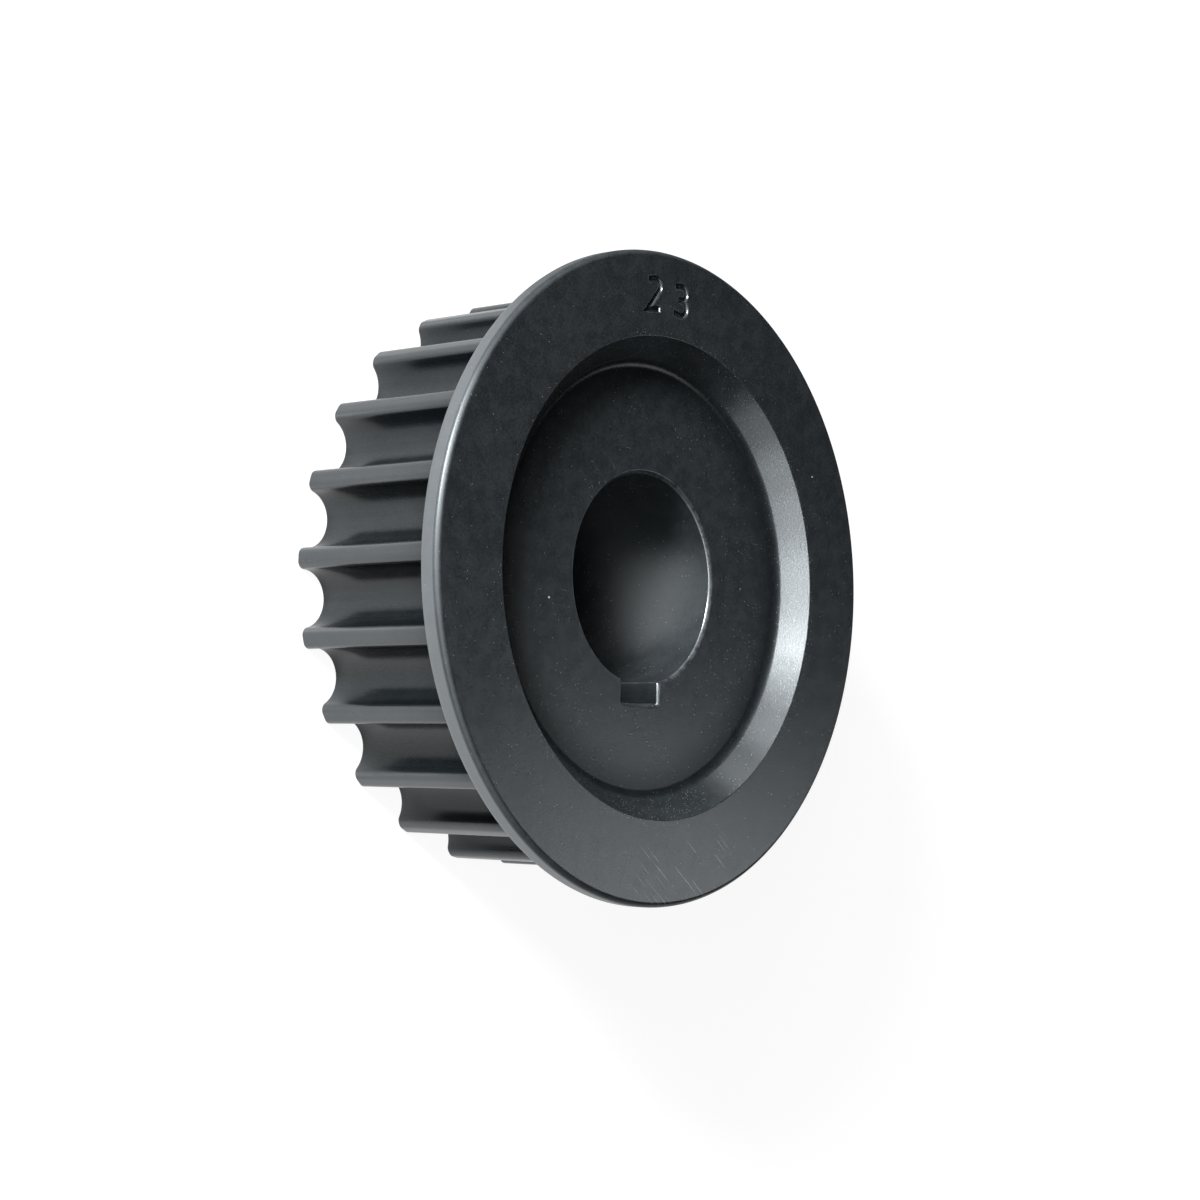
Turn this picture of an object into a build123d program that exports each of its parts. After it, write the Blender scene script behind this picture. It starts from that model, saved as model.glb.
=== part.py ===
import math
import os

from build123d import *

# Belt drive pulley, one piece: a toothed rim with one flange, and a shallow
# bevelled recess in the flange face around a keyed bore. Sizes in millimetres.
# The bore runs along +Z. The open end of the teeth stands on z = 0, the flange
# is on top, and the keyway points to -Y.

# Toothed rim
TEETH = 23
PITCH = 8.0                     # belt pitch, measured on the pitch circle
PITCH_LINE_OFFSET = 0.69        # from the tooth tips out to the pitch circle
GROOVE_DEPTH = 3.4
GROOVE_RADIUS = 2.8             # the groove is a round-bottomed trough
TIP_ROUNDING = 0.7              # both shoulders of every tooth
RIM_END_CHAMFER = 0.25          # turned on the tooth tips at their open end
FIRST_TOOTH_ANGLE = 180         # one tooth is centred on -X

# Body and flange
LENGTH = 22.0
FLANGE_DIAMETER = 64.0
FLANGE_THICKNESS = 2.5
FLANGE_FRONT_CHAMFER = 0.4
FLANGE_BACK_ROUNDING = 0.9

# Recess in the flange face
RECESS_DIAMETER = 47.2          # at the flange face
RECESS_DEPTH = 2.9
RECESS_BEVEL_ANGLE = 38         # between the recess wall and the bore axis
RECESS_FOOT_FILLET = 1.4

# Bore and keyway
BORE_DIAMETER = 20.8
KEYWAY_WIDTH = 5.5
KEYWAY_REACH = 12.3             # bore axis to the flat bottom of the keyway
KEYWAY_CORNER_FILLET = 0.25
MOUTH_CHAMFER = 0.3             # bore and keyway, both ends

CUT_MARGIN = 1.0                # how far a cutting shape overruns the body

pitch_radius = TEETH * PITCH / math.pi / 2
tip_radius = pitch_radius - PITCH_LINE_OFFSET
root_radius = tip_radius - GROOVE_DEPTH
flange_radius = FLANGE_DIAMETER / 2
flange_back = LENGTH - FLANGE_THICKNESS
recess_floor = LENGTH - RECESS_DEPTH
bore_radius = BORE_DIAMETER / 2

# Toothed rim: round troughs cut out of the tip circle, shoulders rounded
first_groove_angle = FIRST_TOOTH_ANGLE + 360 / TEETH / 2
groove_places = PolarLocations(root_radius + GROOVE_RADIUS, TEETH, first_groove_angle)
rim_outline = Circle(tip_radius) - groove_places * Circle(GROOVE_RADIUS)
rim_outline = fillet(rim_outline.vertices(), TIP_ROUNDING)
rim = extrude(rim_outline, flange_back + FLANGE_THICKNESS / 2)

# The chamfer is a ring of triangular section, taken off the lower tip edge
overrun = RIM_END_CHAMFER + CUT_MARGIN
chamfer_section = Polyline(
    (tip_radius - overrun, -CUT_MARGIN),
    (tip_radius + CUT_MARGIN, -CUT_MARGIN),
    (tip_radius + CUT_MARGIN, overrun),
    close=True,
)
rim -= revolve(make_face(Plane.XZ * chamfer_section), Axis.Z)

# Flange: a plain disc with a chamfered front edge and a rounded back edge
flange = Pos(0, 0, flange_back) * extrude(Circle(flange_radius), FLANGE_THICKNESS)
flange = chamfer(flange.edges().group_by(Axis.Z)[-1], FLANGE_FRONT_CHAMFER)
flange = fillet(flange.edges().group_by(Axis.Z)[0], FLANGE_BACK_ROUNDING)

# Recess: half of its section turned about the bore axis. The bevel goes on
# above the flange face at the same slope, so that the cut is clean there.
slope = math.tan(math.radians(RECESS_BEVEL_ANGLE))
foot_radius = RECESS_DIAMETER / 2 - RECESS_DEPTH * slope
top_radius = RECESS_DIAMETER / 2 + CUT_MARGIN * slope
foot = (foot_radius, recess_floor)
recess_section = Polyline(
    (0, recess_floor),
    foot,
    (top_radius, LENGTH + CUT_MARGIN),
    (0, LENGTH + CUT_MARGIN),
    close=True,
)
recess_section = make_face(Plane.XZ * recess_section)
foot_corner = recess_section.vertices().sort_by_distance((foot_radius, 0, recess_floor))[0]
recess_section = fillet(foot_corner, RECESS_FOOT_FILLET)
recess = revolve(recess_section, Axis.Z)

# Bore and keyway in one outline, cut right through
keyway_outline = Pos(0, -KEYWAY_REACH / 2) * Rectangle(KEYWAY_WIDTH, KEYWAY_REACH)
keyway_outline = fillet(keyway_outline.vertices().group_by(Axis.Y)[0], KEYWAY_CORNER_FILLET)
bore_outline = Circle(bore_radius) + keyway_outline
bore = extrude(Pos(0, 0, -CUT_MARGIN) * bore_outline, LENGTH + 2 * CUT_MARGIN)

pulley = rim + flange - recess - bore

# Chamfer the mouth of the bore and keyway at both ends
for mouth_height in (0, recess_floor):
    centre = Vertex(0, 0, mouth_height)
    level_edges = pulley.edges().filter_by_position(Axis.Z, mouth_height, mouth_height)
    mouth = level_edges.filter_by(lambda edge: edge.distance_to(centre) < KEYWAY_REACH + CUT_MARGIN)
    pulley = chamfer(mouth, MOUTH_CHAMFER)

os.makedirs("parts", exist_ok=True)
export_step(pulley, "parts/pulley.step")
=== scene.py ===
import math

import bpy
from mathutils import Matrix, Vector


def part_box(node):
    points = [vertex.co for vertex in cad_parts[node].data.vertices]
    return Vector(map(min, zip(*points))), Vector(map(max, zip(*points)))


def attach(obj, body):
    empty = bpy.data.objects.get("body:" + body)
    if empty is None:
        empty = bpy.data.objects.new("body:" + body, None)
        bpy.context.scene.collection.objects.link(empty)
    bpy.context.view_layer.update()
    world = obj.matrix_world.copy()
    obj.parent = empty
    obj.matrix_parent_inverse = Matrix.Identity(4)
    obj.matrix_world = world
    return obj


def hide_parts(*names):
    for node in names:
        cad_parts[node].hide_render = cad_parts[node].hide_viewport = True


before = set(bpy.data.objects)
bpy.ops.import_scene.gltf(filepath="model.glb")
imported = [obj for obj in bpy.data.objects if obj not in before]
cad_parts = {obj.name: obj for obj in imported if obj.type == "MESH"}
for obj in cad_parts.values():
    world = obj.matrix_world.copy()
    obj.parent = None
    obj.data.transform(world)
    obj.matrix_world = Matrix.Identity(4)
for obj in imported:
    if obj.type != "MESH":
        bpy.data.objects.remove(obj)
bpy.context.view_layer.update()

# A belt drive pulley in one piece, finished satin black. Places are in metres, and sizes
# are written in millimetres times MM. The bore runs along +Z and the flange is on top.
MM = 0.001
ORIGIN = (0, 0, 0)
Z_AXIS = (0, 0, 1)

# Toothed rim
TEETH = 23
TIP_RADIUS = 28.6 * MM
GROOVE_DEPTH = 3.4 * MM
GROOVE_RADIUS = 2.8 * MM
TIP_ROUNDING = 0.7 * MM
RIM_END_CHAMFER = 0.25 * MM

# Flange, recess, bore and keyway
FLANGE_THICKNESS = 2.5 * MM
FLANGE_FRONT_CHAMFER = 0.4 * MM
FLANGE_BACK_ROUNDING = 0.9 * MM
RECESS_RADIUS = 23.6 * MM
RECESS_DEPTH = 2.9 * MM
RECESS_BEVEL_ANGLE = math.radians(38)
RECESS_FOOT_FILLET = 1.4 * MM
BORE_RADIUS = 10.4 * MM
KEYWAY_WIDTH = 5.5 * MM
KEYWAY_REACH = 12.3 * MM
KEYWAY_CORNER_FILLET = 0.25 * MM
MOUTH_CHAMFER = 0.3 * MM

# Broken edges, and the engraved tooth count
EDGE_BREAK = 0.06 * MM
RIM_EDGE_BREAK = 0.17 * MM
FIGURE_STROKE = 0.66 * MM
FIGURE_FLOOR = 0.12 * MM
FIGURE_DEPTH = 0.3 * MM
LOWER_BOWL_DEPTH = 0.93 * FIGURE_DEPTH
CUTTER_HEIGHT = 1.5 * FIGURE_DEPTH

# How finely the round forms are cut
TURNED_STEPS = TEETH * 16
GROOVE_STEPS = 12
TIP_STEPS = 7
LAND_STEPS = 2
BORE_STEPS = 180
FILLET_STEPS = 8
PEN_STEPS = 14

# What counts as one place, as level, as flat, as an edge and as smooth
WELD = 0.002 * MM
LEVEL_SLACK = 0.004 * MM
FLAT_ANGLE = math.radians(0.05)
EDGE_ANGLE = math.radians(25)
SMOOTH_ANGLE = math.radians(50)

high_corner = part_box("pulley")[1]
LENGTH = high_corner[2]
FLANGE_RADIUS = high_corner[0]
FLANGE_BACK = LENGTH - FLANGE_THICKNESS
RECESS_FLOOR = LENGTH - RECESS_DEPTH


# Modelling by hand: a point is drawn on into a section, and sections are turned or bridged

def pick(piece):
    """Selects one piece alone and makes it the active one."""
    bpy.ops.object.select_all(action="DESELECT")
    piece.select_set(True)
    bpy.context.view_layer.objects.active = piece


def begin_drawing(name, place):
    """Starts a mesh object with one selected point, and leaves it in edit mode."""
    bpy.ops.object.select_all(action="DESELECT")
    bpy.ops.mesh.primitive_plane_add(size=MM, location=ORIGIN)
    drawing = bpy.context.object
    drawing.name = drawing.data.name = name
    bpy.ops.object.mode_set(mode="EDIT")
    bpy.ops.mesh.select_mode(type="VERT")
    bpy.ops.mesh.select_all(action="SELECT")
    bpy.ops.mesh.merge(type="CENTER")
    bpy.ops.transform.translate(value=place)
    return drawing


def draw_line(start, end):
    """Carries the selected point along a straight edge."""
    step = Vector(end) - Vector(start)
    bpy.ops.mesh.extrude_vertices_move(TRANSFORM_OT_translate={"value": step})


def draw_arc(centre, angle, steps, axis=Z_AXIS):
    """Carries the selected point along a round edge, right-handed about the axis."""
    bpy.ops.mesh.spin(steps=steps, angle=-angle, center=centre, axis=axis)


def finish_drawing():
    """Welds the points that were drawn twice, and leaves edit mode."""
    bpy.ops.mesh.select_all(action="SELECT")
    bpy.ops.mesh.remove_doubles(threshold=WELD)
    bpy.ops.object.mode_set(mode="OBJECT")


def rim_outline(height, tip_radius):
    """The toothed outline at one height: half a pitch drawn, mirrored and turned round."""
    root_radius = TIP_RADIUS - GROOVE_DEPTH
    groove_centre = root_radius + GROOVE_RADIUS
    shoulder_centre = tip_radius - TIP_ROUNDING
    shoulder_reach = GROOVE_RADIUS + TIP_ROUNDING
    shoulder_angle = math.acos(
        (groove_centre ** 2 + shoulder_centre ** 2 - shoulder_reach ** 2)
        / (2 * groove_centre * shoulder_centre)
    )
    shoulder_x = shoulder_centre * math.cos(shoulder_angle)
    shoulder_y = shoulder_centre * math.sin(shoulder_angle)
    wall_angle = math.atan2(shoulder_y, shoulder_x - groove_centre)
    half_pitch = math.pi / TEETH

    drawing = begin_drawing("rim outline", (root_radius, 0, height))
    draw_arc((groove_centre, 0, height), wall_angle - math.pi, GROOVE_STEPS)
    draw_arc((shoulder_x, shoulder_y, height), shoulder_angle - wall_angle + math.pi, TIP_STEPS)
    draw_arc((0, 0, height), half_pitch - shoulder_angle, LAND_STEPS)
    bpy.ops.mesh.select_all(action="SELECT")
    bpy.ops.mesh.duplicate()
    bpy.ops.transform.resize(value=(1, -1, 1), center_override=ORIGIN)
    bpy.ops.mesh.select_all(action="SELECT")
    bpy.ops.mesh.remove_doubles(threshold=WELD)
    bpy.ops.mesh.select_all(action="SELECT")
    last_copy = 2 * math.pi * (TEETH - 1) / TEETH
    bpy.ops.mesh.spin(steps=TEETH - 1, dupli=True, angle=last_copy, center=ORIGIN, axis=Z_AXIS)
    finish_drawing()
    return drawing


def bore_outline(height, growth):
    """The bore with its keyway at one height, grown all round for a chamfer's outer edge."""
    radius = BORE_RADIUS + growth
    half_width = KEYWAY_WIDTH / 2 + growth
    reach = -KEYWAY_REACH - growth
    corner = KEYWAY_CORNER_FILLET + growth
    half_gap = math.asin(half_width / radius)
    mouth_y = -radius * math.cos(half_gap)
    quarter = math.pi / 2

    drawing = begin_drawing("bore outline", (half_width, mouth_y, height))
    draw_line((half_width, mouth_y, height), (half_width, reach + corner, height))
    draw_arc((half_width - corner, reach + corner, height), -quarter, FILLET_STEPS)
    draw_line((half_width - corner, reach, height), (corner - half_width, reach, height))
    draw_arc((corner - half_width, reach + corner, height), -quarter, FILLET_STEPS)
    draw_line((-half_width, reach + corner, height), (-half_width, mouth_y, height))
    draw_arc((0, 0, height), 2 * half_gap - 2 * math.pi, BORE_STEPS)
    finish_drawing()
    return drawing


def turned_shell():
    """Flange and recess: the section drawn from the flange's back to the recess floor."""
    slope = math.tan(RECESS_BEVEL_ANGLE)
    foot_radius = RECESS_RADIUS - RECESS_DEPTH * slope
    fillet_turn = math.pi / 2 - RECESS_BEVEL_ANGLE
    fillet_reach = RECESS_FOOT_FILLET * math.tan(fillet_turn / 2)
    bevel_end = (
        foot_radius + fillet_reach * math.sin(RECESS_BEVEL_ANGLE),
        0,
        RECESS_FLOOR + fillet_reach * math.cos(RECESS_BEVEL_ANGLE),
    )
    fillet_centre = (foot_radius - fillet_reach, 0, RECESS_FLOOR + RECESS_FOOT_FILLET)
    back_start = (FLANGE_RADIUS - FLANGE_BACK_ROUNDING, 0, FLANGE_BACK)
    back_centre = (back_start[0], 0, FLANGE_BACK + FLANGE_BACK_ROUNDING)
    rim_low = (FLANGE_RADIUS, 0, FLANGE_BACK + FLANGE_BACK_ROUNDING)
    rim_high = (FLANGE_RADIUS, 0, LENGTH - FLANGE_FRONT_CHAMFER)
    face_outer = (FLANGE_RADIUS - FLANGE_FRONT_CHAMFER, 0, LENGTH)
    face_inner = (RECESS_RADIUS, 0, LENGTH)

    drawing = begin_drawing("flange and recess", back_start)
    draw_arc(back_centre, -math.pi / 2, FILLET_STEPS, axis=(0, 1, 0))
    draw_line(rim_low, rim_high)
    draw_line(rim_high, face_outer)
    draw_line(face_outer, face_inner)
    draw_line(face_inner, bevel_end)
    draw_arc(fillet_centre, fillet_turn, FILLET_STEPS, axis=(0, 1, 0))
    bpy.ops.mesh.select_all(action="SELECT")
    bpy.ops.mesh.spin(steps=TURNED_STEPS, angle=2 * math.pi, center=ORIGIN, axis=Z_AXIS)
    finish_drawing()
    return drawing


def join(parts, name):
    """Joins drawings into one mesh, with nothing selected."""
    bpy.ops.object.select_all(action="DESELECT")
    for part in parts:
        part.select_set(True)
    bpy.context.view_layer.objects.active = parts[0]
    if len(parts) > 1:
        bpy.ops.object.join()
    joined = bpy.context.object
    joined.name = joined.data.name = name
    bpy.ops.object.mode_set(mode="EDIT")
    bpy.ops.mesh.select_mode(type="EDGE")
    bpy.ops.mesh.select_all(action="DESELECT")
    bpy.ops.object.mode_set(mode="OBJECT")
    return joined


def select_edges(piece, wanted):
    """Selects the edges whose two ends both answer to wanted(point)."""
    points = piece.data.vertices
    for face in piece.data.polygons:
        face.select = False
    for vertex in points:
        vertex.select = False
    for edge in piece.data.edges:
        edge.select = all(wanted(points[end].co) for end in edge.vertices)
    for edge in piece.data.edges:
        if edge.select:
            for end in edge.vertices:
                points[end].select = True


def at_height(height, inner=0.0, outer=1.0):
    """Answers for a point at this height whose distance from the axis is in the range."""
    def answer(point):
        distance = math.hypot(point.x, point.y)
        return abs(point.z - height) < LEVEL_SLACK and inner < distance < outer
    return answer


def cap(piece, height, inner, outer):
    """Closes the flat ring between the loops at one height."""
    select_edges(piece, at_height(height, inner, outer))
    bpy.ops.object.mode_set(mode="EDIT")
    bpy.ops.mesh.fill(use_beauty=True)
    bpy.ops.object.mode_set(mode="OBJECT")


def bridge(piece, low, high):
    """Joins two loops of the same shape at two heights by a wall."""
    select_edges(piece, lambda point: low(point) or high(point))
    bpy.ops.object.mode_set(mode="EDIT")
    bpy.ops.mesh.bridge_edge_loops()
    bpy.ops.object.mode_set(mode="OBJECT")


def wall(name, outlines):
    """A wall through outlines of the same shape, from the lowest to the highest."""
    heights = [outline.data.vertices[0].co.z for outline in outlines]
    piece = join(outlines, name)
    for low, high in zip(heights, heights[1:]):
        bridge(piece, at_height(low), at_height(high))
    return piece


def pulley_body():
    """The toothed rim, the bore and the turned shell, closed into one mesh."""
    rim = wall("rim", [
        rim_outline(0, TIP_RADIUS - RIM_END_CHAMFER),
        rim_outline(RIM_END_CHAMFER, TIP_RADIUS),
        rim_outline(FLANGE_BACK, TIP_RADIUS),
    ])
    bore = wall("bore", [
        bore_outline(0, MOUTH_CHAMFER),
        bore_outline(MOUTH_CHAMFER, 0),
        bore_outline(RECESS_FLOOR - MOUTH_CHAMFER, 0),
        bore_outline(RECESS_FLOOR, MOUTH_CHAMFER),
    ])
    body = join([rim, bore, turned_shell()], "pulley_body")
    cap(body, 0, 0, FLANGE_RADIUS)
    cap(body, FLANGE_BACK, 0, FLANGE_RADIUS)
    cap(body, RECESS_FLOOR, 0, RECESS_RADIUS)
    bpy.ops.object.mode_set(mode="EDIT")
    bpy.ops.mesh.select_all(action="SELECT")
    bpy.ops.mesh.remove_doubles(threshold=WELD)
    bpy.ops.mesh.dissolve_limited(angle_limit=FLAT_ANGLE)
    bpy.ops.mesh.select_all(action="SELECT")
    bpy.ops.mesh.normals_make_consistent(inside=False)
    bpy.ops.object.mode_set(mode="OBJECT")
    return body


def on_rim_chamfer(point):
    """Answers for a point on the slope between the flange's face and its rim."""
    distance = math.hypot(point.x, point.y)
    rise = distance + point.z - FLANGE_RADIUS - LENGTH + FLANGE_FRONT_CHAMFER
    return abs(rise) < LEVEL_SLACK


def soften_rim(body):
    """Rounds the two rings of the rim's chamfer, which handling wears more."""
    select_edges(body, on_rim_chamfer)
    for edge in body.data.edges:
        low, high = (body.data.vertices[end].co for end in edge.vertices)
        if abs(low.z - high.z) > LEVEL_SLACK:
            edge.select = False
    bpy.ops.object.mode_set(mode="EDIT")
    bpy.ops.mesh.bevel(offset=RIM_EDGE_BREAK, segments=3)
    bpy.ops.object.mode_set(mode="OBJECT")


def break_edges(body):
    """Takes the sharpness off every machined edge."""
    bevel = body.modifiers.new("edge break", "BEVEL")
    bevel.width = EDGE_BREAK
    bevel.segments = 2
    bevel.angle_limit = EDGE_ANGLE
    bpy.ops.object.modifier_apply(modifier=bevel.name)


def figure_cutter(name, start, moves, turn, depth=FIGURE_DEPTH):
    """A cutter with sloping sides along a pen's path, turned round the bore.

    A move is a place in millimetres and a turn in degrees: a straight line to the place
    when the turn is nothing, or else an arc about the place."""
    floor_height = LENGTH - depth
    pen = Vector((start[0] * MM, start[1] * MM, floor_height))
    cutter = begin_drawing(name, pen)
    for x, y, degrees in moves:
        place = Vector((x * MM, y * MM, floor_height))
        if degrees:
            draw_arc(place, math.radians(degrees), PEN_STEPS)
            pen = place + Matrix.Rotation(math.radians(degrees), 3, "Z") @ (pen - place)
        else:
            draw_line(pen, place)
            pen = place
    rise = (0, 0, CUTTER_HEIGHT)
    bpy.ops.mesh.select_all(action="SELECT")
    bpy.ops.mesh.extrude_region_move(TRANSFORM_OT_translate={"value": rise})
    bpy.ops.mesh.select_all(action="SELECT")
    bpy.ops.transform.rotate(value=-math.radians(turn), orient_axis="Z", center_override=ORIGIN)
    finish_drawing()
    width = cutter.modifiers.new("stroke width", "SOLIDIFY")
    width.thickness = FIGURE_STROKE
    width.offset = 0
    width.use_even_offset = True
    bpy.ops.object.modifier_apply(modifier=width.name)
    select_edges(cutter, lambda point: abs(point.z - floor_height) < LEVEL_SLACK)
    bpy.ops.object.mode_set(mode="EDIT")
    bpy.ops.mesh.select_mode(type="FACE")
    bpy.ops.mesh.select_mode(type="EDGE")
    bpy.ops.mesh.region_to_loop()
    bpy.ops.mesh.bevel(offset=(FIGURE_STROKE - FIGURE_FLOOR) / 2, segments=1)
    bpy.ops.object.mode_set(mode="OBJECT")
    return cutter


def engrave(body, cutter):
    """Cuts one cutter's path into the body and puts the cutter away."""
    pick(body)
    cut = body.modifiers.new("engraving", "BOOLEAN")
    cut.operation = "DIFFERENCE"
    cut.solver = "EXACT"
    cut.object = cutter
    bpy.ops.object.modifier_apply(modifier=cut.name)
    pick(cutter)
    bpy.ops.object.delete()


def engrave_tooth_count(body):
    """The number 23, each figure standing upright on its own radius of the flange.

    The lower bowl of the 3 is cut less deep, so that no two floors lie in one plane."""
    two = figure_cutter("figure 2", (-0.72, 29.10), [
        (0.24, 29.21, 0), (0.33, 28.50, -145), (-1.05, 26.22, 0), (0.91, 26.22, 0),
    ], 7.2)
    engrave(body, two)
    three_upper = figure_cutter("figure 3 upper", (-1.05, 28.77), [
        (-0.15, 28.955, 0), (0.0, 28.27, -192), (-0.45, 27.57, 0),
    ], -1.6)
    engrave(body, three_upper)
    three_lower = figure_cutter("figure 3 lower", (-0.20, 27.58), [
        (0.02, 27.58, 0), (0.02, 26.80, -189), (-1.15, 26.19, 0),
    ], -1.6, LOWER_BOWL_DEPTH)
    engrave(body, three_lower)


def shade(body):
    """Smooth shading between hard edges, with the flat faces kept flat."""
    pick(body)
    bpy.ops.object.shade_smooth_by_angle(angle=SMOOTH_ANGLE)
    flat = body.modifiers.new("flat faces stay flat", "WEIGHTED_NORMAL")
    flat.keep_sharp = True
    bpy.ops.object.modifier_apply(modifier=flat.name)


pulley = pulley_body()
soften_rim(pulley)
break_edges(pulley)
engrave_tooth_count(pulley)
shade(pulley)

# Colours of the finish
BLACK_DEEP = (0.0138, 0.0168, 0.0185, 1)
BLACK_PALE = (0.0276, 0.0325, 0.0358, 1)
PAINTED_CORNER_SHADE = (0.0018, 0.0030, 0.0038, 1)
RUBBED_METAL = (0.31, 0.33, 0.34, 1)
DUST = (0.58, 0.61, 0.62, 1)
COOL_SHEEN = (0.90, 0.965, 1.0, 1)

# Clouds, blotches, grain and cutter streaks: their size, and how they shift the black
CLOUD_SPOT = 11 * MM
CLOUD_TONES = (0.1, 0.4)
BLOTCH_SPOT = 1.6 * MM
BLOTCH_TONES = (0.0, 0.5)
GRAIN_SPOT = 0.17 * MM
GRAIN_TONES = (-0.4, 0.4)
STREAK_SPOT = 0.8 * MM
STREAK_SQUEEZE = 0.03
STREAK_TONES = (-0.5, 0.5)
TEETH_TOP = (FLANGE_BACK - 0.2 * MM, FLANGE_BACK)
TEETH_START = (24 * MM, 25 * MM)

# Rubbed edges and shoulders; the shoulders' ring is partly wear and partly a painted highlight
# along the lands' corners. A pair says where a fade starts and where it ends.
RUB_SPOT = 0.7 * MM
RUB_PATCHES = (0.36, 0.62)
EDGE_REACH = 0.16 * MM
EDGE_MATCH = (0.90, 0.995)
SHOULDER_START = (28.0 * MM, 28.3 * MM)
SHOULDER_END = (28.4 * MM, 28.56 * MM)
SHOULDER_STREAKS = (-0.4, 0.4)
SHOULDER_IN_STREAKS = 0.3
MOUTH_EDGE = (10.75 * MM, 10.85 * MM)
MOUTH_TOP = (RECESS_FLOOR - 0.35 * MM, RECESS_FLOOR - 0.25 * MM)
SHOULDER_WEAR_AND_HIGHLIGHT = 0.8
MOUTH_RUBBED = 0.35
RUBBING_SHOWS = 0.3

# Dust and hair scratches
DUST_SPACING = 0.17 * MM
DUST_LARGEST = 0.11 * MM
DUST_DRIFT = 6 * MM
DRIFT_THICKNESS = (0.1, 1.0)
RECESS_EDGE = (RECESS_RADIUS, RECESS_RADIUS + 1 * MM)
DUST_SHARE = (0.5, 0.04)
ABOVE_TEETH = (FLANGE_BACK, FLANGE_BACK + 0.1 * MM)
DUST_ON_TEETH = 0.25
DUST_SHOWS = 0.35
SMALLEST_SPECK = 0.35
SPECK_EDGE = (0.6, 1.0)
FLECK_SPACING = 4.2 * MM
FLECK_LARGEST = 0.34 * MM
FLECK_SHARE = 0.30
FLECKS_SHOW = 0.9
HAIR_MARK = (4 * MM, -29 * MM, LENGTH)
HAIR_PATCH = (5 * MM, 10 * MM)
HAIR_FACE = (25 * MM, 27 * MM)
HAIR_TURN = math.radians(38)
HAIR_LENGTH = 4.0 * MM
HAIR_WIDTH = 0.10 * MM
HAIR_EDGE = (0.4, 1.0)
HAIR_STRENGTH = (0.5, 1.0)
HAIR_LANE = 0.6 * MM
LANE_STRETCH = 5
HAIRS_SHOW = 0.3

# Painted shade: corners, grooves and the recess's foot darkened in colour and gloss
CORNER_REACH = 4 * MM
GROOVE_REACH = 5 * MM
CORNER_POWER = 2.5
RECESS_FLOOR_TOP = (RECESS_FLOOR + 0.1 * MM, RECESS_FLOOR + 0.4 * MM)
RECESS_FOOT = (16 * MM, 21 * MM)
FOOT_SHADOW_STRENGTH = 0.5

# Gloss and relief
FINISH_IOR = 2.54
GLOSS = 0.5
SATIN = 0.26
SATIN_PLAY = 0.01
STREAKS_DULL = 0.08
DUST_DULLS = 0.25
EDGES_DULL = 0.14
RIM_DULLS = 0.18
NOSE_DULLS = 0.6
RIM_START = (FLANGE_RADIUS - 0.5 * MM, FLANGE_RADIUS - 0.35 * MM)
NOSE_START = (LENGTH - 0.7 * MM, LENGTH - 0.45 * MM)
RING_SPACING = 0.22 * MM
GRAIN_DEPTH = 0.006 * MM
RING_DEPTH = 0.0012 * MM
DUST_DEPTH = 0.003 * MM


# Shader nodes. Patterns follow the object's own places, in metres.

def add_node(tree, kind, values=None, **settings):
    """Adds a shader node. A value is a number or colour, or another node's output."""
    made = tree.nodes.new("ShaderNode" + kind)
    for setting, choice in settings.items():
        setattr(made, setting, choice)
    for socket, value in (values or {}).items():
        if isinstance(value, bpy.types.NodeSocket):
            tree.links.new(value, made.inputs[socket])
        else:
            made.inputs[socket].default_value = value
    return made


def work_out(tree, operation, first, second=0.0):
    return add_node(tree, "Math", {0: first, 1: second}, operation=operation).outputs["Value"]


def times(tree, first, second):
    return work_out(tree, "MULTIPLY", first, second)


def plus(tree, first, second):
    return work_out(tree, "ADD", first, second)


def on_places(tree, operation, first, second=None):
    """Vector arithmetic on places, as the node itself."""
    values = {0: first} if second is None else {0: first, 1: second}
    return add_node(tree, "VectorMath", values, operation=operation)


def fade(tree, value, low, high, start=0.0, end=1.0):
    """Start below low, end above high, and smooth between."""
    made = add_node(tree, "MapRange", {
        "Value": value, "From Min": low, "From Max": high, "To Min": start, "To Max": end,
    }, interpolation_type="SMOOTHSTEP")
    return made.outputs["Result"]


def mottle(tree, place, spot, detail=2.0):
    """Noise in spots of about this size."""
    made = add_node(tree, "TexNoise", {"Vector": place, "Scale": 1 / spot, "Detail": detail})
    return made.outputs["Fac"]


def vary(tree, noise, low, high, spread=0.2):
    """Noise drawn out to run from low to high; a smaller spread gives more contrast."""
    return fade(tree, noise, 0.5 - spread, 0.5 + spread, low, high)


def mix_colour(tree, amount, first, second):
    """The first colour, turning to the second as the amount goes to one."""
    return add_node(tree, "Mix", {0: amount, 6: first, 7: second}, data_type="RGBA").outputs[2]


def relief(tree, depth, height, normal=None):
    """A bump this deep, on top of another one's normal if it is given."""
    values = {"Strength": 1.0, "Distance": depth, "Height": height}
    if normal:
        values["Normal"] = normal
    return add_node(tree, "Bump", values).outputs["Normal"]


def specks(tree, place, spacing, largest, share):
    """Scattered round specks: a share of the cells holds one, each of its own size."""
    cells = add_node(tree, "TexVoronoi", {"Vector": place, "Scale": 1 / spacing})
    draw = add_node(tree, "SeparateColor", {"Color": cells.outputs["Color"]})
    size = fade(tree, draw.outputs["Red"], 0.0, 1.0, SMALLEST_SPECK, 1.0)
    reach = times(tree, size, largest / 2 / spacing)
    depth = work_out(tree, "DIVIDE", cells.outputs["Distance"], reach)
    dot = fade(tree, depth, *SPECK_EDGE, 1.0, 0.0)
    held = work_out(tree, "LESS_THAN", draw.outputs["Green"], share)
    return times(tree, dot, held)


def cutter_streaks(tree, place, on_teeth):
    """Lighter and darker streaks that the cutter left along the teeth."""
    squeezed = on_places(tree, "MULTIPLY", place, (1, 1, STREAK_SQUEEZE))
    streaks = mottle(tree, squeezed.outputs["Vector"], STREAK_SPOT, 4.0)
    return times(tree, vary(tree, streaks, *STREAK_TONES), on_teeth)


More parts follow.
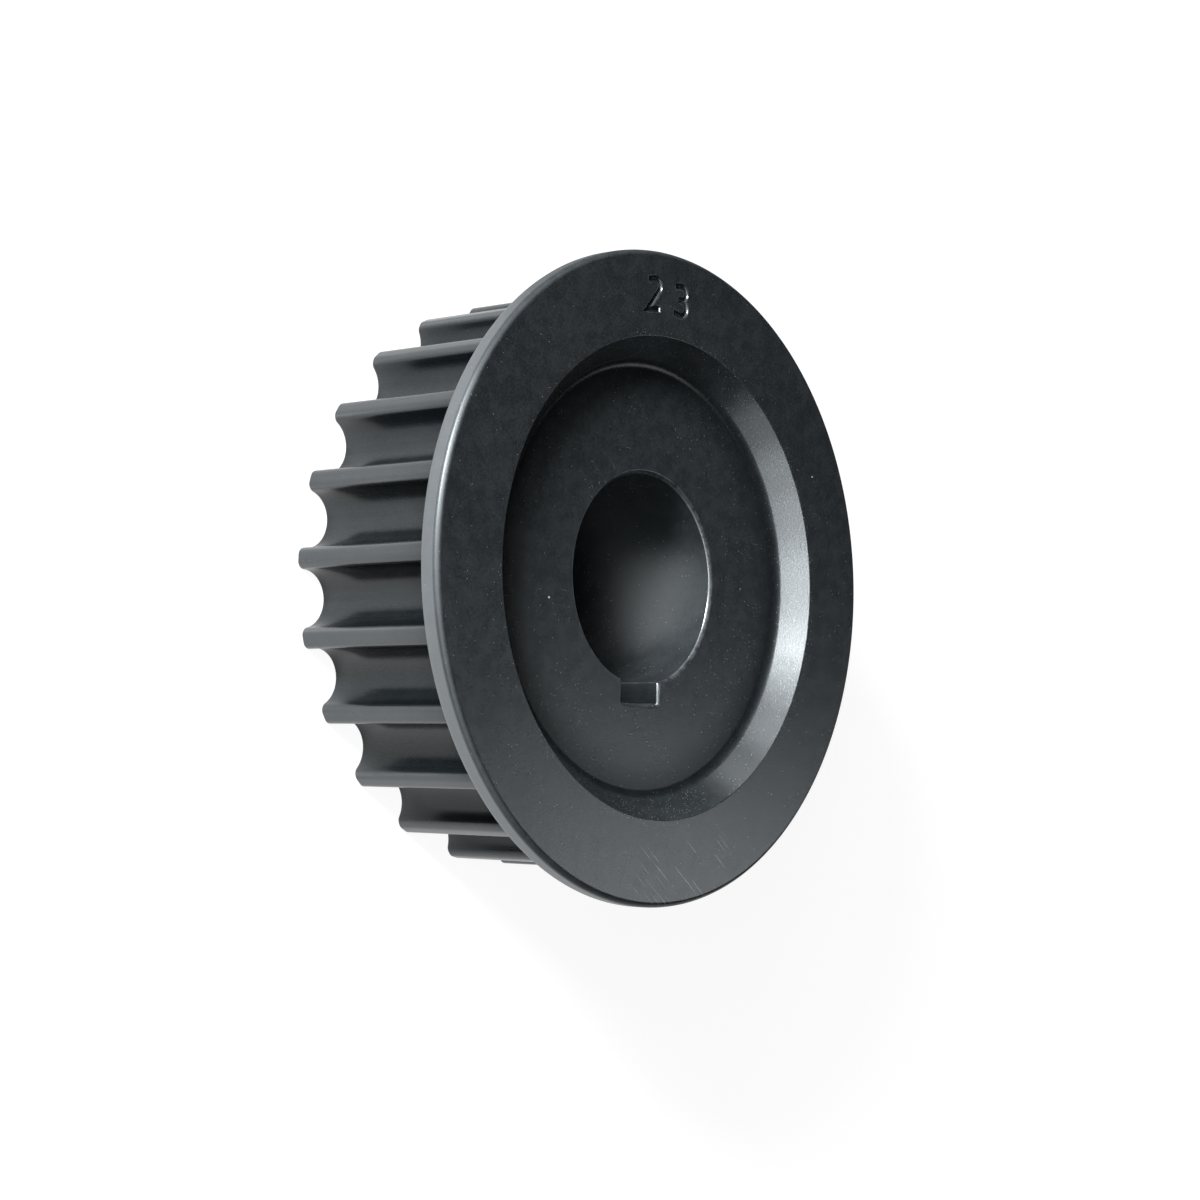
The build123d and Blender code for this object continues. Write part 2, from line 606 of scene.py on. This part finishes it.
def hard_edges(tree):
    """One on a hard edge, and nothing away from it."""
    rounded = add_node(tree, "Bevel", {"Radius": EDGE_REACH}, samples=6)
    facing = add_node(tree, "NewGeometry").outputs["Normal"]
    match = on_places(tree, "DOT_PRODUCT", rounded.outputs["Normal"], facing)
    return fade(tree, match.outputs["Value"], *EDGE_MATCH, 1.0, 0.0)


def rubbed_places(tree, place, height, radius, on_teeth, streaks, edge):
    """Where the black is rubbed thin: edges, the mouth, and the shoulders that the belt rides,
    whose ring is also a painted highlight.
    """
    patches = fade(tree, mottle(tree, place, RUB_SPOT, 4.0), *RUB_PATCHES)
    rubbed_edge = times(tree, edge, patches)
    # Partly wear and partly a painted highlight along the lands' corners
    shoulder_wear_and_highlight = times(tree, fade(tree, radius, *SHOULDER_START),
                     fade(tree, radius, *SHOULDER_END, 1.0, 0.0))
    shoulder_wear_and_highlight = times(tree, shoulder_wear_and_highlight, on_teeth)
    streaked = fade(tree, streaks, *SHOULDER_STREAKS, SHOULDER_IN_STREAKS, 1.0)
    shoulder_wear_and_highlight = times(tree, shoulder_wear_and_highlight, streaked)
    mouth = times(tree, fade(tree, radius, *MOUTH_EDGE, MOUTH_RUBBED, 0.0),
                  fade(tree, height, *MOUTH_TOP))
    rubbed = work_out(tree, "MAXIMUM", rubbed_edge, times(tree, shoulder_wear_and_highlight, SHOULDER_WEAR_AND_HIGHLIGHT))
    return work_out(tree, "MAXIMUM", rubbed, times(tree, mouth, patches))


def settled_dust(tree, place, height, radius):
    """Fine dust, thicker in the recess and thin on the teeth, with a few larger flecks."""
    share = fade(tree, radius, *RECESS_EDGE, *DUST_SHARE)
    share = times(tree, share, fade(tree, height, *ABOVE_TEETH, DUST_ON_TEETH, 1.0))
    drift = vary(tree, mottle(tree, place, DUST_DRIFT), *DRIFT_THICKNESS, spread=0.15)
    fine = specks(tree, place, DUST_SPACING, DUST_LARGEST, times(tree, share, drift))
    flecks = specks(tree, place, FLECK_SPACING, FLECK_LARGEST, FLECK_SHARE)
    fine = times(tree, fine, DUST_SHOWS)
    return work_out(tree, "MAXIMUM", fine, times(tree, flecks, FLECKS_SHOW))


def hair_scratches(tree, place, radius):
    """A patch of straight hairs low on the flange's face, all lying one way."""
    turned = add_node(tree, "VectorRotate", {"Vector": place, "Angle": HAIR_TURN},
                      rotation_type="Z_AXIS")
    lane = (LANE_STRETCH * HAIR_LANE, HAIR_LANE)
    laid = on_places(tree, "MULTIPLY", turned.outputs["Vector"], (1 / lane[0], 1 / lane[1], 0))
    laid = laid.outputs["Vector"]
    cells = add_node(tree, "TexVoronoi", {"Vector": laid, "Scale": 1.0}, voronoi_dimensions="2D")
    away = on_places(tree, "SUBTRACT", laid, cells.outputs["Position"])
    away = on_places(tree, "MULTIPLY", away.outputs["Vector"],
                     (2 * lane[0] / HAIR_LENGTH, 2 * lane[1] / HAIR_WIDTH, 0))
    away = on_places(tree, "LENGTH", away.outputs["Vector"]).outputs["Value"]
    draw = add_node(tree, "SeparateColor", {"Color": cells.outputs["Color"]})
    held = fade(tree, draw.outputs["Green"], *HAIR_STRENGTH)
    hairs = times(tree, held, fade(tree, away, *HAIR_EDGE, 1.0, 0.0))
    apart = on_places(tree, "DISTANCE", place, HAIR_MARK).outputs["Value"]
    patch = fade(tree, apart, *HAIR_PATCH, 1.0, 0.0)
    patch = times(tree, patch, fade(tree, radius, *HAIR_FACE))
    return times(tree, hairs, patch)


def painted_shade_factor(tree, height, radius, on_teeth):
    """One in the open, and less in grooves and corners: painted shade, with a painted shadow
    round the recess's foot.
    """
    look_round = plus(tree, CORNER_REACH, times(tree, on_teeth, GROOVE_REACH))
    painted_shade_ao = add_node(tree, "AmbientOcclusion", {"Distance": look_round},
                        samples=4, only_local=True)
    unshaded_share = work_out(tree, "POWER", painted_shade_ao.outputs["AO"], CORNER_POWER)
    on_floor = fade(tree, height, *RECESS_FLOOR_TOP, 1.0, 0.0)
    painted_foot_shadow = times(tree, on_floor, fade(tree, radius, *RECESS_FOOT, 0.0, FOOT_SHADOW_STRENGTH))
    return times(tree, unshaded_share, work_out(tree, "SUBTRACT", 1.0, painted_foot_shadow))


def start_finish(name):
    """A new material with its node tree and its main shader."""
    finish = bpy.data.materials.new(name)
    finish.use_nodes = True
    return finish, finish.node_tree, finish.node_tree.nodes["Principled BSDF"]


def satin_black():
    """Satin black metal: fine even grain, faint clouds, edges rubbed grey, dust and hairs, and
    painted shade in corners and grooves.
    """
    finish, tree, shader = start_finish("satin black")
    place = add_node(tree, "TexCoord").outputs["Object"]
    height = add_node(tree, "SeparateXYZ", {"Vector": place}).outputs["Z"]
    flat_place = on_places(tree, "MULTIPLY", place, (1, 1, 0))
    radius = on_places(tree, "LENGTH", flat_place.outputs["Vector"]).outputs["Value"]
    below_flange = fade(tree, height, *TEETH_TOP, 1.0, 0.0)
    on_teeth = times(tree, below_flange, fade(tree, radius, *TEETH_START))

    # Colour: the blackening's clouds and grain, then wear, dust, hairs, and painted shade in the
    # corners
    clouds = mottle(tree, place, CLOUD_SPOT, 3.0)
    blotches = mottle(tree, place, BLOTCH_SPOT, 3.0)
    grain = mottle(tree, place, GRAIN_SPOT, 2.0)
    streaks = cutter_streaks(tree, place, on_teeth)
    tone = plus(tree, vary(tree, clouds, *CLOUD_TONES), vary(tree, blotches, *BLOTCH_TONES))
    tone = plus(tree, tone, vary(tree, grain, *GRAIN_TONES, spread=0.15))
    base = mix_colour(tree, plus(tree, tone, streaks), BLACK_DEEP, BLACK_PALE)
    edge = hard_edges(tree)
    rubbed = rubbed_places(tree, place, height, radius, on_teeth, streaks, edge)
    base = mix_colour(tree, times(tree, rubbed, RUBBING_SHOWS), base, RUBBED_METAL)
    dust = settled_dust(tree, place, height, radius)
    base = mix_colour(tree, dust, base, DUST)
    hairs = hair_scratches(tree, place, radius)
    base = mix_colour(tree, times(tree, hairs, HAIRS_SHOW), base, DUST)
    # Painted shade: corners and grooves go towards black, and the recess's foot darkens all
    # round
    unshaded_share = painted_shade_factor(tree, height, radius, on_teeth)
    base = mix_colour(tree, unshaded_share, PAINTED_CORNER_SHADE, base)

    # Gloss: satin, duller along streaks, dust and edges, dullest round the handled rim, and
    # dimmed with the painted shade in corners
    rough = vary(tree, blotches, SATIN - SATIN_PLAY, SATIN + SATIN_PLAY)
    rough = plus(tree, rough, times(tree, streaks, STREAKS_DULL))
    rough = plus(tree, rough, times(tree, dust, DUST_DULLS))
    rough = plus(tree, rough, times(tree, edge, EDGES_DULL))
    on_rim = fade(tree, radius, *RIM_START)
    rough = plus(tree, rough, times(tree, on_rim, RIM_DULLS))
    at_nose = times(tree, on_rim, fade(tree, height, *NOSE_START, 0.0, NOSE_DULLS))
    gloss = times(tree, unshaded_share, GLOSS)
    gloss = times(tree, gloss, work_out(tree, "SUBTRACT", 1.0, at_nose))

    # Relief: the grain, the faint rings that turning leaves on flat faces, and the dust
    rings = add_node(tree, "TexNoise", {
        "W": work_out(tree, "DIVIDE", radius, RING_SPACING), "Scale": 1.0, "Detail": 2.0,
    }, noise_dimensions="1D").outputs["Fac"]
    normal = relief(tree, GRAIN_DEPTH, grain)
    normal = relief(tree, RING_DEPTH, rings, normal)
    normal = relief(tree, DUST_DEPTH, dust, normal)

    tree.links.new(base, shader.inputs["Base Color"])
    tree.links.new(rough, shader.inputs["Roughness"])
    tree.links.new(gloss, shader.inputs["Specular IOR Level"])
    tree.links.new(normal, shader.inputs["Normal"])
    shader.inputs["IOR"].default_value = FINISH_IOR
    shader.inputs["Specular Tint"].default_value = COOL_SHEEN
    return finish


pulley.data.materials.append(satin_black())

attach(pulley, "root")
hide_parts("pulley")

# Camera, at the photograph's place and turned as it was held
CAMERA_PLACE = Vector((-184.9, -22.9, 173.4)) * MM
CAMERA_AIM = Vector((0.2, -1.9, 13.2)) * MM
CAMERA_ROLL = math.radians(-87.75)
CAMERA_LENS = 73.83
CAMERA_NEAR = 0.01

camera_data = bpy.data.cameras.new("camera")
camera_data.lens = CAMERA_LENS
camera_data.clip_start = CAMERA_NEAR
camera = bpy.data.objects.new("camera", camera_data)
bpy.context.collection.objects.link(camera)
looking = (CAMERA_AIM - CAMERA_PLACE).to_track_quat("-Z", "Y").to_matrix()
camera.matrix_world = (
    Matrix.Translation(CAMERA_PLACE)
    @ looking.to_4x4()
    @ Matrix.Rotation(-CAMERA_ROLL, 4, "Z")
)
bpy.context.scene.camera = camera

# Lamps: a key and a far fill for the flat faces, and strips that the recess's wall mirrors
LAMP_AIM = Vector((0, 0, 17)) * MM
LAMP_DISTANCE = 0.5
STRIP_WIDTH = 0.24
STRIP_HEIGHT = 0.11
STRIPS = [
    (86, 15, 0.085), (110, 24, 0.165), (134, 31, 0.16), (159, 36, 0.38),
    (186, 37, 0.44), (212, 36, 0.225), (236, 31, 0.185), (260, 26, 0.06),
]


def soft_lamp(name, azimuth, elevation, width, height, power):
    """A rounded softbox turned to the pulley; azimuth 0 is +X, 90 is +Y."""
    data = bpy.data.lights.new(name, "AREA")
    data.shape = "ELLIPSE"
    data.size = width
    data.size_y = height
    data.energy = power
    lamp = bpy.data.objects.new(name, data)
    bpy.context.collection.objects.link(lamp)
    lamp.visible_camera = False
    across = math.radians(azimuth)
    up = math.radians(elevation)
    outward = Vector((
        math.cos(across) * math.cos(up), math.sin(across) * math.cos(up), math.sin(up),
    ))
    lamp.matrix_world = (
        Matrix.Translation(LAMP_AIM + outward * LAMP_DISTANCE)
        @ (-outward).to_track_quat("-Z", "Y").to_matrix().to_4x4()
    )


soft_lamp("key", 148, 19, 0.14, 0.14, 5.8)
soft_lamp("far fill", 350, 39, 0.12, 0.12, 0.043)
for number, (azimuth, elevation, power) in enumerate(STRIPS, start=1):
    soft_lamp(f"bevel strip {number}", azimuth, elevation, STRIP_WIDTH, STRIP_HEIGHT, power)

# World: all but dark, so that the lamps and the floor do the lighting
DARK_STUDIO = (0.002, 0.002, 0.002, 1)
world = bpy.data.worlds.new("studio")
bpy.context.scene.world = world
world.use_nodes = True
world.node_tree.nodes["Background"].inputs["Color"].default_value = DARK_STUDIO

# Floor: evenly white to the camera, and a painted glow for what the pulley mirrors
FLOOR_SIZE = 20
FLOOR_WHITE = (0.2, 0.2, 0.2, 1)
BACKGROUND_GLOW = 0.9
FLOOR_GLOW = 0.9
FLOOR_START = (24 * MM, 27 * MM)
FLOOR_FAR = (60 * MM, 110 * MM)
FAR_GLOW = (0.9, 0.25)
FAR_GLOW_TURNS = (-100 * MM, 0.0)
FAR_SIDE = (0.6, 0.8, 0)
FAR_SIDE_START = (22 * MM, 34 * MM)
FAR_SIDE_GLOW = 0.15
BORE_GLOW = 0.68
BORE_SIDE = (0.8, -0.6, 0)
BORE_GLOW_ENDS = (-6 * MM, 3 * MM)
BORE_FLOOR = 18 * MM


def painted_floor_reflection(tree):
    """The painted reflection glow: a painted shadow under the pulley, dimmer far off and aside,
    and a painted bright patch under the bore.
    """
    place = add_node(tree, "TexCoord").outputs["Object"]
    out = on_places(tree, "LENGTH", place).outputs["Value"]
    along = add_node(tree, "SeparateXYZ", {"Vector": place}).outputs["Y"]
    aside = on_places(tree, "DOT_PRODUCT", place, FAR_SIDE).outputs["Value"]
    across = on_places(tree, "DOT_PRODUCT", place, BORE_SIDE).outputs["Value"]
    far_glow = fade(tree, along, *FAR_GLOW_TURNS, *FAR_GLOW)
    glow = fade(tree, out, *FLOOR_START, 0.0, FLOOR_GLOW)
    glow = times(tree, glow, fade(tree, out, *FLOOR_FAR, 1.0, far_glow))
    glow = times(tree, glow, fade(tree, aside, *FAR_SIDE_START, 1.0, FAR_SIDE_GLOW))
    # Painted reflection: a bright patch under the bore, for the bore's wall to mirror
    in_bore = work_out(tree, "LESS_THAN", out, BORE_FLOOR)
    through_bore = fade(tree, across, *BORE_GLOW_ENDS, BORE_GLOW, 0.0)
    return plus(tree, glow, times(tree, in_bore, through_bore))


def white_floor():
    """Plain white, with its own glow for the camera, and a painted reflection glow for mirrored
    rays.
    """
    finish, tree, shader = start_finish("floor white")
    shader.inputs["Base Color"].default_value = FLOOR_WHITE
    shader.inputs["Roughness"].default_value = 0.9
    shader.inputs["Specular IOR Level"].default_value = 0.0
    shader.inputs["Emission Color"].default_value = (1, 1, 1, 1)
    path = add_node(tree, "LightPath")
    mirrored = work_out(tree, "MAXIMUM", path.outputs["Is Glossy Ray"],
                        path.outputs["Is Transmission Ray"])
    seen = times(tree, path.outputs["Is Camera Ray"], BACKGROUND_GLOW)
    glow = plus(tree, times(tree, mirrored, painted_floor_reflection(tree)), seen)
    tree.links.new(glow, shader.inputs["Emission Strength"])
    return finish


bpy.ops.object.select_all(action="DESELECT")
bpy.ops.mesh.primitive_plane_add(size=FLOOR_SIZE, location=ORIGIN)
floor = bpy.context.object
floor.name = "floor"
floor.data.materials.append(white_floor())

bpy.context.scene.view_settings.view_transform = "Standard"
